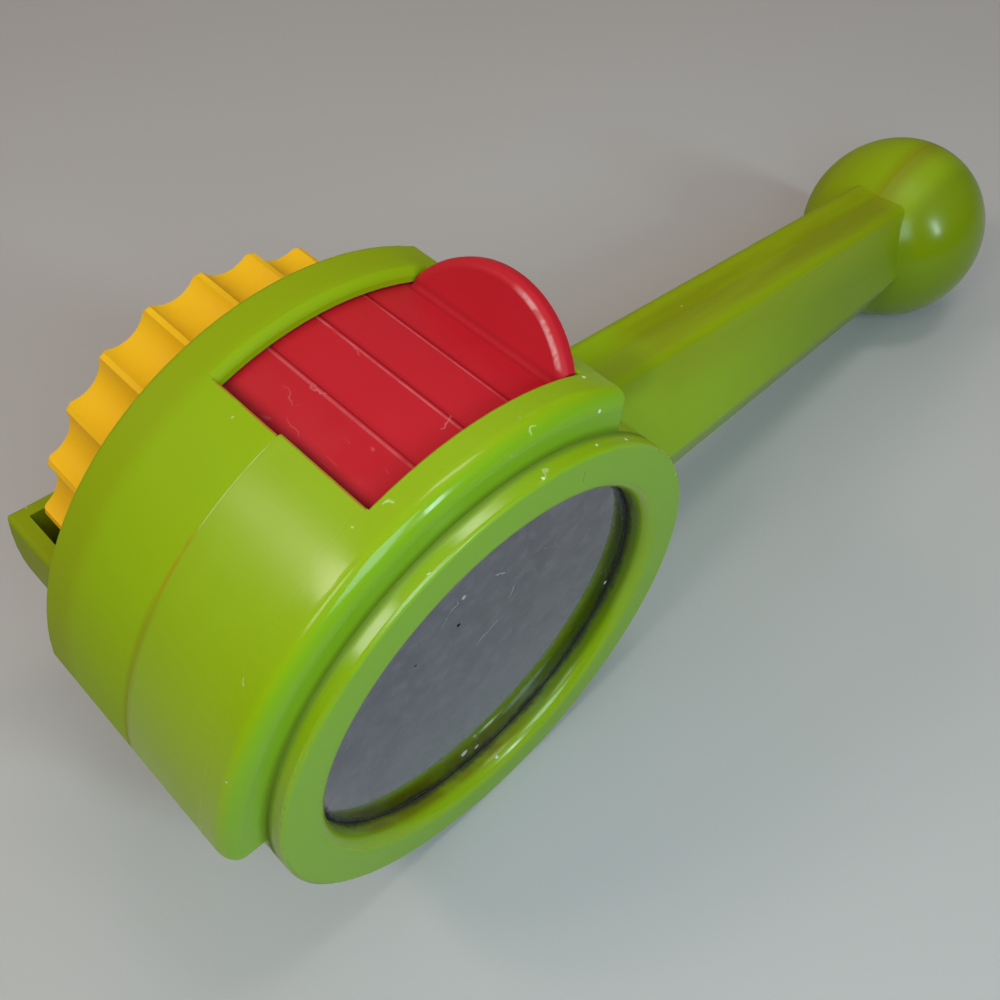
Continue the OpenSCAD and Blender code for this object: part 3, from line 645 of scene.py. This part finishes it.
def mirror_coating():
    """Old plastic mirror: grey silvering under dust, short scratches, flecks and a grimy edge."""
    finish = Finish("mirror coating", colours().mirror, 0.03, metallic=1.0, specular=0.5)
    _, up, radius, _, _ = finish.place
    inner = sizes().opening_radius / MM
    glass = sizes().front / MM - GLASS_SINK
    silver = Vector(colours().mirror)
    # Uneven silvering with a painted mottle of reflection over it, and dust
    film = ramp(finish.noise(6.0, 5.0, 3.0, 0.5), 0.35, 0.72)
    finish.paint(film, silver * 0.80, 0.8)
    finish.roughen(film, 0.09, 0.8)
    cloud = ramp(finish.noise(3.4, 5.0, 13.0, 0.8), 0.38, 0.66)
    finish.paint(cloud, silver * 0.64, 0.44)
    glow = ramp(finish.noise(2.2, 4.0, 23.0, 0.6), 0.48, 0.70)
    finish.paint(glow, silver * 1.40, 0.36)
    # Painted reflection: the lower part of the mirror is lighter
    finish.paint(fall(up, -20.0, 4.0), silver * 1.35, 0.55)
    dust = both(ramp(finish.noise(0.7, 3.0, 6.0), 0.50, 0.72), film)
    finish.paint(dust, (0.30, 0.30, 0.32), 0.5)
    finish.dull(dust, 0.25)
    finish.roughen(dust, 0.5, 0.6)
    # Short scratches, flecks and dark spots
    scratches = finish.streaks((0.0, -1.0, 0.0), ((1.3, glass, 14.0), (1.0, 0.0, -0.4), 2.2, 0.10),
                               ((3.6, glass, 9.0), (0.55, 0.0, 1.0), 2.2, 0.10),
                               ((-0.1, glass, 4.5), (1.0, 0.0, 0.55), 4.6, 0.13),
                               ((-6.0, glass, 13.4), (0.65, 0.0, 1.0), 3.6, 0.06))
    finish.paint(finish.scratches(0.07, 0.0008, 0.36, 25.0), (0.42, 0.43, 0.46), 0.18)
    finish.paint(scratches, (0.60, 0.61, 0.64), 0.50)
    flecks = either(finish.spots((-4.1, glass, 14.8, 0.55), (22.2, glass, -6.0, 0.6), (-1.7, glass, -20.8, 1.3),
                                 (0.6, glass, -22.0, 0.7)), finish.specks(0.30, 0.040, 0.16, 61.0))
    finish.paint(flecks, (0.62, 0.64, 0.67), 0.65)
    dark = either(finish.spots((-4.55, glass, 10.45, 0.70), (-10.4, glass, 8.9, 0.40)),
                  finish.specks(0.20, 0.035, 0.15, 71.0))
    finish.paint(dark, (0.012, 0.011, 0.010), 0.95)
    # Grimy edge
    edge = ramp(finish.ragged(radius, 0.9, 0.6, 31.0), inner - 0.20, inner + 0.80)
    finish.paint(edge, (0.014, 0.011, 0.007), 0.90)
    finish.dull(either(flecks, scratches))
    finish.roughen(either(flecks, dark, edge, scratches), 0.85)
    return finish.done()


def red_shutter():
    """Red plastic of the shutter, with rubbed slat edges under painted highlights and painted shade along the slat
    lines, scuffs, painted shade in its recesses and a worn thumb tab with a painted highlight.
    """
    red = Vector(colours().red)
    finish = handled_plastic("red shutter", red, red * 1.10 + Vector((0.03, 0.01, 0.01)), red * 0.88, 0.44, 0.18)
    along, up, radius, angle, depth = finish.place
    # Edges of the slat lines: a painted highlight, broken into streaks, on one side and painted shade in the
    # groove on the other
    off = from_nearest(angle, SLAT_START, SLAT_PITCH)
    slats = both(band(angle, SLAT_START + SLAT_PITCH, 11.2, 0.5), ramp(radius, 32.7, 33.0),
                 fall(radius, 33.6, 33.9))
    streak = ramp(finish.noise(2.6, 4.0, 7.0), 0.30, 0.62, 0.25, 1.0)
    slat_highlight = both(slats, band(off, 0.30, 0.14, 0.28), streak)
    dark = both(slats, band(off, -0.45, 0.15, 0.60))
    finish.paint(dark, (0.300, 0.005, 0.012), 0.45)
    finish.paint(slat_highlight, (0.70, 0.18, 0.20), 0.56)
    # Wispy scuffs, a haze on the slat at the far end, and specks everywhere
    squiggle = finish.scratches(0.30, 0.0045, 0.50, 3.0)
    far_slat = both(ramp(angle, 98.0, 104.0), ramp(finish.noise(3.0, 3.0, 27.0), 0.46, 0.60))
    scuffs = either(both(squiggle, far_slat),
                    finish.streaks((-0.30, 0.0, 0.95), ((-9.4, 29.6, 31.8), (0.2, 1.0, 0.0), 3.2, 0.10),
                                   ((-11.6, 33.0, 31.1), (0.5, 1.0, 0.0), 3.0, 0.12),
                                   ((-7.2, 31.2, 32.4), (0.2, 1.0, 0.0), 1.8, 0.12)),
                    finish.streaks((0.0, 0.0, 1.0), ((-1.6, 42.9, 33.2), (1.0, 0.4, 0.0), 2.4, 0.12),
                                   ((-1.7, 30.3, 33.2), (0.3, 1.0, 0.0), 2.0, 0.09)))
    finish.paint(scuffs, (0.72, 0.28, 0.30), 0.34)
    finish.roughen(scuffs, 0.7)
    haze = both(ramp(angle, 101.0, 109.0), ramp(finish.noise(5.0, 3.0, 37.0), 0.35, 0.65))
    finish.paint(haze, (0.62, 0.10, 0.12), 0.08)
    finish.paint(finish.specks(0.50, 0.070, 0.30, 13.0), (0.80, 0.45, 0.45), 0.60)
    # Painted shade: a darker slat at the far end, a dark band under the window's far edge and a darker foot of the
    # tab
    under = ramp(angle, 109.4, 112.2)
    foot = both(band(angle, 71.1, 0.5, 0.9), fall(radius, 33.9, 34.5))
    finish.paint(ramp(angle, 99.0, 105.0), (0.420, 0.007, 0.015), 0.45)
    finish.paint(under, (0.130, 0.002, 0.006), 0.65)
    finish.paint(foot, (0.300, 0.005, 0.011), 0.40)
    finish.roughen(either(under, foot), 0.8)
    # Rubbed rim of the thumb tab, on its front side, with a painted highlight along it
    turn = math.radians(TAB_ANGLE)
    out_way = calc("ADD", calc("MULTIPLY", along, math.cos(turn)), calc("MULTIPLY", up, math.sin(turn)))
    reach = long_side(calc("SUBTRACT", out_way, TAB_MIDDLE), calc("SUBTRACT", depth, WINDOW_DEPTH))
    rim = both(ramp(radius, 34.6, 35.2), band(reach, TAB_RADIUS, 0.10, 0.30), ramp(depth, 35.5, 38.5))
    worn_rim_and_highlight = both(rim, ramp(finish.noise(1.2, 4.0, 19.0, 0.5), 0.32, 0.60, 0.30, 1.0))
    finish.paint(worn_rim_and_highlight, (0.74, 0.34, 0.35), 0.72)
    finish.roughen(worn_rim_and_highlight, 0.5)
    return finish.done()


def yellow_wheel():
    """Yellow plastic of the thumb wheel, with painted shade at the foot of its ridges."""
    yellow = Vector(colours().yellow)
    finish = handled_plastic("yellow wheel", yellow, yellow * 1.04 + Vector((0.02, 0.03, 0.01)),
                             yellow * 0.93, 0.55, 0.20)
    _, _, radius, angle, _ = finish.place
    aside = calc("ABSOLUTE", from_nearest(angle, RIDGE_START, RIDGE_PITCH))
    ridges = ramp(radius, 26.0, 28.0)
    # Painted shade in the crease beside each ridge tip
    crease_shade = both(ridges, band(aside, 2.9, 0.20, 0.60), ramp(finish.noise(3.0, 3.0, 2.0), 0.28, 0.55, 0.55, 1.0))
    finish.paint(crease_shade, (0.60, 0.27, 0.003), 0.42)
    valley = both(ridges, band(aside, 7.5, 0.5, 3.5), ramp(finish.noise(4.0, 3.0, 22.0), 0.40, 0.65))
    finish.paint(valley, (0.78, 0.37, 0.003), 0.35)
    finish.paint(finish.scratches(0.12, 0.0016, 0.42, 5.0), (0.92, 0.70, 0.25), 0.25)
    finish.paint(finish.specks(0.26, 0.045, 0.20, 15.0), (0.40, 0.20, 0.01), 0.5)
    return finish.done()


def plain_plastic(name, colour, roughness):
    """Unhandled plastic of a piece inside the toy."""
    colour = Vector(colour)
    return handled_plastic(name, colour, colour * 1.04, colour * 0.93, roughness).done()


def card_print():
    """Picture cards: a white border round one plain colour for each card, on coated paper."""
    finish = Finish("card print", (0.78, 0.77, 0.72), 0.5)
    _, _, radius, angle, depth = finish.place
    turn = calc("MULTIPLY", calc("ROUND", calc("DIVIDE", angle, FACE_TURN)), FACE_TURN)
    off = calc("RADIANS", calc("SUBTRACT", angle, turn))
    across = calc("MULTIPLY", radius, calc("SINE", off))
    field = both(band(across, 0.0, 7.4, 0.15), band(depth, 31.0, 10.9, 0.15))
    hue = calc("FRACT", calc("ADD", calc("MULTIPLY", turn, 0.0139), 0.55))
    tone = flow(finish.tree, "ShaderNodeCombineColor", {0: hue, 1: 0.45, 2: 0.72}, mode="HSV")
    finish.colour = mix_colour(field, finish.colour, tone)
    fibre = ramp(finish.noise(0.4, 3.0), 0.35, 0.65)
    finish.paint(fibre, (0.70, 0.70, 0.66), 0.10)
    finish.rise(fibre, 0.3)
    return finish.done()


def screw_steel():
    """Zinc-plated steel of the screws."""
    finish = Finish("screw steel", (0.56, 0.57, 0.58), 0.30, metallic=1.0, specular=0.5)
    patch = ramp(finish.noise(1.1, 4.0), 0.35, 0.70)
    finish.paint(patch, (0.42, 0.42, 0.41), 0.5)
    finish.roughen(patch, 0.45)
    return finish.done()


def foam_pad():
    """Black foam tape behind the mirror."""
    finish = Finish("foam pad", (0.020, 0.020, 0.022), 0.9, specular=0.2)
    pores = ramp(finish.noise(0.5, 3.0), 0.40, 0.65)
    finish.paint(pores, (0.045, 0.045, 0.047), 0.6)
    finish.rise(pores, -1.0)
    return finish.done()


# Geometry Nodes trees

def geometry_tree(name, lengths):
    """An empty geometry tree that works on points, with inputs for lengths and a material."""
    return open_group(name, ("Geometry", *lengths, "Material"), ("Geometry",), "GeometryNodeTree")


def grown(name, tree, values, points):
    """Runs a geometry tree on a set of points and returns the result as a plain mesh object."""
    seed = bpy.data.meshes.new(name + "_points")
    seed.from_pydata(points, [], [])
    host = bpy.data.objects.new(name + "_host", seed)
    bpy.context.scene.collection.objects.link(host)
    grow = host.modifiers.new("grow", "NODES")
    grow.node_group = tree
    for item in tree.interface.items_tree:
        if item.in_out == "INPUT" and item.name in values:
            grow[item.identifier] = values[item.name]
    host.update_tag()
    bpy.context.view_layer.update()
    done = host.evaluated_get(bpy.context.evaluated_depsgraph_get())
    mesh = bpy.data.meshes.new_from_object(done)
    if not len(mesh.polygons):
        raise RuntimeError(name + " came out empty")
    host.modifiers.remove(grow)
    bpy.data.objects.remove(host)
    mesh.name = name
    piece = bpy.data.objects.new(name, mesh)
    bpy.context.scene.collection.objects.link(piece)
    return piece


def lay_down(geometry):
    """Turns a geometry built from the rear face upwards into the toy's resting place."""
    size = sizes()
    sink = (size.axis_height * math.sin(size.tilt), 0.0, size.axis_height * math.cos(size.tilt))
    turn = (math.radians(90), size.tilt, 0.0)
    return flow(tree_of(geometry), "GeometryNodeTransform",
                {"Geometry": geometry, "Translation": sink, "Rotation": turn})


def set_out(tree, into, out, piece, spin=(0.0, 0.0, 0.0)):
    """Puts a piece on every point, lays the set down in its material and ends the tree."""
    placed = flow(tree, "GeometryNodeInstanceOnPoints",
                  {"Points": into.outputs["Geometry"], "Instance": piece, "Rotation": spin})
    solid = flow(tree, "GeometryNodeRealizeInstances", {"Geometry": lay_down(placed)})
    coated = flow(tree, "GeometryNodeSetMaterial", {"Geometry": solid, "Material": into.outputs["Material"]})
    return close_group(tree, out, {"Geometry": coated})


def joined(*parts):
    """Several shapes as one."""
    tree = tree_of(*parts)
    made = tree.nodes.new("GeometryNodeJoinGeometry")
    for part in parts:
        tree.links.new(part, made.inputs[0])
    return made.outputs[0]


def moved(geometry, place):
    """A shape at another place."""
    return flow(tree_of(geometry), "GeometryNodeTransform", {"Geometry": geometry, "Translation": place})


def screw_tree():
    """Pan-head screw with a cross recess and a coarse thread, set at every point."""
    tree, into, out = geometry_tree("case screws", ("Head Radius", "Head Height", "Shank Radius", "Length"))
    _, head_r, head_h, shank_r, length, *_ = into.outputs
    disc = flow(tree, "GeometryNodeMeshCylinder",
                {"Vertices": 40, "Side Segments": 1, "Fill Segments": 1, "Radius": head_r, "Depth": head_h})
    top = flow(tree, "GeometryNodeMeshUVSphere", {"Segments": 40, "Rings": 20, "Radius": head_r})
    flat_top = flow(tree, "GeometryNodeTransform", {"Geometry": top, "Scale": (1.0, 1.0, 0.62)})
    dome = node(tree, "GeometryNodeMeshBoolean", {"Mesh 2": disc}, operation="INTERSECT")
    tree.links.new(flat_top, dome.inputs["Mesh 2"])
    arms = []
    for long_x, long_y in ((1.15, 0.30), (0.30, 1.15)):
        span = flow(tree, "ShaderNodeCombineXYZ",
                    {0: calc("MULTIPLY", head_r, long_x), 1: calc("MULTIPLY", head_r, long_y), 2: head_h})
        bar = flow(tree, "GeometryNodeMeshCube", {"Size": span})
        drop = flow(tree, "ShaderNodeCombineXYZ", {2: calc("MULTIPLY", head_h, -0.55)})
        arms.append(moved(bar, drop))
    cut = node(tree, "GeometryNodeMeshBoolean", {"Mesh 1": dome.outputs[0]}, operation="DIFFERENCE")
    for arm in arms:
        tree.links.new(arm, cut.inputs["Mesh 2"])
    seat = flow(tree, "ShaderNodeCombineXYZ", {2: calc("MULTIPLY", head_h, -0.5)})
    head = moved(cut.outputs[0], seat)
    core = flow(tree, "GeometryNodeMeshCone",
                {"Vertices": 24, "Radius Top": calc("MULTIPLY", shank_r, 0.45),
                 "Radius Bottom": calc("MULTIPLY", shank_r, 0.80), "Depth": length})
    turns = calc("DIVIDE", length, THREAD_PITCH * MM)
    coil = flow(tree, "GeometryNodeCurveSpiral",
                {"Resolution": 20, "Rotations": turns, "Start Radius": calc("MULTIPLY", shank_r, 0.78),
                 "End Radius": calc("MULTIPLY", shank_r, 0.55), "Height": calc("MULTIPLY", length, 0.97)})
    wire = flow(tree, "GeometryNodeCurvePrimitiveCircle",
                {"Resolution": 4, "Radius": calc("MULTIPLY", shank_r, 0.20)})
    thread = flow(tree, "GeometryNodeCurveToMesh", {"Curve": coil, "Profile Curve": wire, "Fill Caps": True})
    return set_out(tree, into, out, joined(head, core, thread))


def card_tree():
    """Rounded picture card, set on every face of the drum."""
    tree, into, out = geometry_tree("picture cards", ("Width", "Length", "Thickness", "Corner"))
    _, width, length, thickness, corner, *_ = into.outputs
    outline = flow(tree, "GeometryNodeCurvePrimitiveQuadrilateral", {"Width": length, "Height": width})
    rounded = flow(tree, "GeometryNodeFilletCurve", {"Curve": outline, "Count": 5, "Radius": corner}, mode="POLY")
    sheet = flow(tree, "GeometryNodeFillCurve", {"Curve": rounded}, mode="NGONS")
    raised = flow(tree, "GeometryNodeExtrudeMesh",
                  {"Mesh": sheet, "Offset Scale": thickness, "Individual": False})
    under = flow(tree, "GeometryNodeFlipFaces", {"Mesh": sheet})
    card = flow(tree, "GeometryNodeMergeByDistance", {"Geometry": joined(raised, under), "Distance": WELD})
    upright = flow(tree, "GeometryNodeTransform", {"Geometry": card, "Rotation": (0.0, math.radians(90), 0.0)})
    turn = calc("MULTIPLY", flow(tree, "GeometryNodeInputIndex"), math.radians(FACE_TURN))
    spin = flow(tree, "ShaderNodeCombineXYZ", {2: turn})
    return set_out(tree, into, out, upright, spin)


# Operators, one for each piece or group of like pieces

class HANDMIRROR_OT_shells(bpy.types.Operator):
    """Finish the two lime shells"""
    bl_idname = "hand_mirror.shells"
    bl_label = "Shells"

    def execute(self, context):
        dress("front_shell", lime_shell("lime front shell", 0.30, 0.28))
        dress("rear_shell", lime_shell("lime rear shell", 0.50, 0.09))
        return {"FINISHED"}


class HANDMIRROR_OT_ring(bpy.types.Operator):
    """Finish the mirror ring"""
    bl_idname = "hand_mirror.ring"
    bl_label = "Mirror ring"

    def execute(self, context):
        dress("mirror_bezel", lime_ring())
        return {"FINISHED"}


class HANDMIRROR_OT_mirror(bpy.types.Operator):
    """Finish the mirror and the pad behind it"""
    bl_idname = "hand_mirror.mirror"
    bl_label = "Mirror"

    def execute(self, context):
        dress("mirror_plate", mirror_coating())
        dress("mirror_pad", foam_pad())
        return {"FINISHED"}


class HANDMIRROR_OT_shutter(bpy.types.Operator):
    """Finish the red shutter and its thumb tab"""
    bl_idname = "hand_mirror.shutter"
    bl_label = "Shutter"

    def execute(self, context):
        dress("shutter", red_shutter())
        return {"FINISHED"}


class HANDMIRROR_OT_wheel(bpy.types.Operator):
    """Finish the thumb wheel, the picture drum and the washer"""
    bl_idname = "hand_mirror.wheel"
    bl_label = "Thumb wheel and drum"

    def execute(self, context):
        dress("thumb_wheel", yellow_wheel())
        dress("picture_drum", plain_plastic("white drum", colours().white, 0.42))
        dress("wheel_washer", plain_plastic("washer nylon", (0.62, 0.61, 0.56), 0.36))
        return {"FINISHED"}


class HANDMIRROR_OT_cards(bpy.types.Operator):
    """Make the picture cards on the faces of the drum"""
    bl_idname = "hand_mirror.cards"
    bl_label = "Picture cards"

    def execute(self, context):
        size = sizes()
        low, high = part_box("picture_cards")
        length = high[1] - low[1]
        middle = -0.5 * (high[1] + low[1])
        flat = DRUM_RADIUS * MM * math.cos(math.radians(0.5 * FACE_TURN))
        turns = [math.radians(FACE_TURN * i) for i in range(DRUM_FACES)]
        points = [(flat * math.cos(turn), flat * math.sin(turn), middle) for turn in turns]
        cards = grown("picture_card_set", card_tree(),
                      {"Width": size.card_width, "Length": length, "Thickness": size.card_thickness,
                       "Corner": CARD_CORNER * MM, "Material": card_print()}, points)
        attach(cards, "wheel")
        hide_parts("picture_cards")
        return {"FINISHED"}


class HANDMIRROR_OT_screws(bpy.types.Operator):
    """Make the screws of the case and the handle"""
    bl_idname = "hand_mirror.screws"
    bl_label = "Screws"

    def execute(self, context):
        size = sizes()
        seat = size.parting - HANDLE_SCREW_DEPTH * MM
        points = [(0.0, 0.0, POST_SCREW_HEIGHT * MM)] + [(along * MM, 0.0, seat) for along in HANDLE_SCREWS]
        screws = grown("case_screw_set", screw_tree(),
                       {"Head Radius": size.screw_head_radius, "Head Height": size.screw_head_height,
                        "Shank Radius": size.screw_radius, "Length": size.screw_length,
                        "Material": screw_steel()}, points)
        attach(screws, "case")
        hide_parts("case_screws")
        return {"FINISHED"}


class HANDMIRROR_OT_stage(bpy.types.Operator):
    """Set the floor, the lights, the world and the camera"""
    bl_idname = "hand_mirror.stage"
    bl_label = "Stage"

    def execute(self, context):
        scene = context.scene
        scene.view_settings.view_transform = "Standard"
        ground(cad_box[0][2])
        for lamp in LAMPS:
            soft_light(*lamp)
        sky(scene)
        view(scene)
        return {"FINISHED"}


# Floor, lamps, surroundings and camera

def ground(height):
    """Plain pale floor under the toy."""
    mesh = bpy.data.meshes.new("floor")
    shape = bmesh.new()
    bmesh.ops.create_grid(shape, x_segments=8, y_segments=8, size=4.0)
    bmesh.ops.translate(shape, verts=shape.verts, vec=(0.0, 0.0, height))
    shape.to_mesh(mesh)
    shape.free()
    floor = bpy.data.objects.new("floor", mesh)
    bpy.context.scene.collection.objects.link(floor)
    finish = Finish("floor paint", colours().floor, 0.85, specular=0.2)
    cloud = ramp(finish.noise(120.0, 3.0), 0.30, 0.70)
    finish.paint(cloud, Vector(colours().floor) * 0.985)
    mesh.materials.append(finish.done())


def soft_light(name, way, distance, width, height, power, colour):
    """Rectangular lamp that shines at the toy from a direction."""
    data = bpy.data.lights.new(name, "AREA")
    data.shape = "RECTANGLE"
    data.size = width
    data.size_y = height
    data.energy = power
    data.color = colour
    lamp = bpy.data.objects.new(name, data)
    lamp.location = LAMPS_AIM + Vector(way).normalized() * distance
    lamp.visible_camera = False
    lamp.rotation_euler = (LAMPS_AIM - lamp.location).to_track_quat("-Z", "Y").to_euler()
    bpy.context.scene.collection.objects.link(lamp)


def sky(scene):
    """Plain studio surroundings, bright overhead and behind the toy."""
    world = bpy.data.worlds.new("studio")
    world.use_nodes = True
    tree = world.node_tree
    tree.nodes.clear()
    way = node(tree, "ShaderNodeTexCoord").outputs["Generated"]
    shade = (0.05, 0.05, 0.05, 1.0)
    for towards, low, high, colour in GLOWS:
        near = ramp(along_axis(way, Vector(towards).normalized()), low, high)
        glow = mix_colour(near, (0.0, 0.0, 0.0, 1.0), colour)
        shade = mix_colour(1.0, shade, glow, "ADD")
    light = node(tree, "ShaderNodeBackground", {"Color": shade, "Strength": 1.0})
    out = tree.nodes.new("ShaderNodeOutputWorld")
    tree.links.new(light.outputs[0], out.inputs[0])
    scene.world = world


def view(scene):
    """Camera at the photograph's place."""
    data = bpy.data.cameras.new("camera")
    data.sensor_width = 36.0
    data.lens = 37.43
    data.clip_start = 0.005
    data.clip_end = 20.0
    camera = bpy.data.objects.new("camera", data)
    right = Vector((0.710618, -0.703253, -0.021389))
    up = Vector((0.577119, 0.565236, 0.589442))
    back = Vector((-0.402436, -0.431213, 0.807528))
    turn = Matrix((right, up, back)).transposed()
    camera.matrix_world = Matrix.Translation((-0.034021, -0.090899, 0.117738)) @ turn.to_4x4()
    scene.collection.objects.link(camera)
    scene.camera = camera


class HANDMIRROR_PT_panel(bpy.types.Panel):
    """Lists the pieces of the hand mirror and their settings"""
    bl_idname = "HANDMIRROR_PT_panel"
    bl_label = "Hand mirror"
    bl_space_type = "VIEW_3D"
    bl_region_type = "UI"
    bl_category = "Hand mirror"

    def draw(self, context):
        for piece in PIECES:
            self.layout.operator(piece.bl_idname)
        for group in (sizes(), colours()):
            box = self.layout.box()
            for key in group.bl_rna.properties.keys():
                if key not in ("rna_type", "name"):
                    box.prop(group, key)


PIECES = (HANDMIRROR_OT_shells, HANDMIRROR_OT_ring, HANDMIRROR_OT_mirror, HANDMIRROR_OT_shutter,
          HANDMIRROR_OT_wheel, HANDMIRROR_OT_cards, HANDMIRROR_OT_screws, HANDMIRROR_OT_stage)
CLASSES = (HandMirrorSizes, HandMirrorColours) + PIECES + (HANDMIRROR_PT_panel,)


def register():
    for made in CLASSES:
        bpy.utils.register_class(made)
    bpy.types.Scene.hand_mirror_sizes = bpy.props.PointerProperty(type=HandMirrorSizes)
    bpy.types.Scene.hand_mirror_colours = bpy.props.PointerProperty(type=HandMirrorColours)


def unregister():
    del bpy.types.Scene.hand_mirror_colours
    del bpy.types.Scene.hand_mirror_sizes
    for made in reversed(CLASSES):
        bpy.utils.unregister_class(made)


def main():
    register()
    for piece in PIECES:
        group, name = piece.bl_idname.split(".")
        getattr(getattr(bpy.ops, group), name)()


if __name__ == "__main__":
    main()
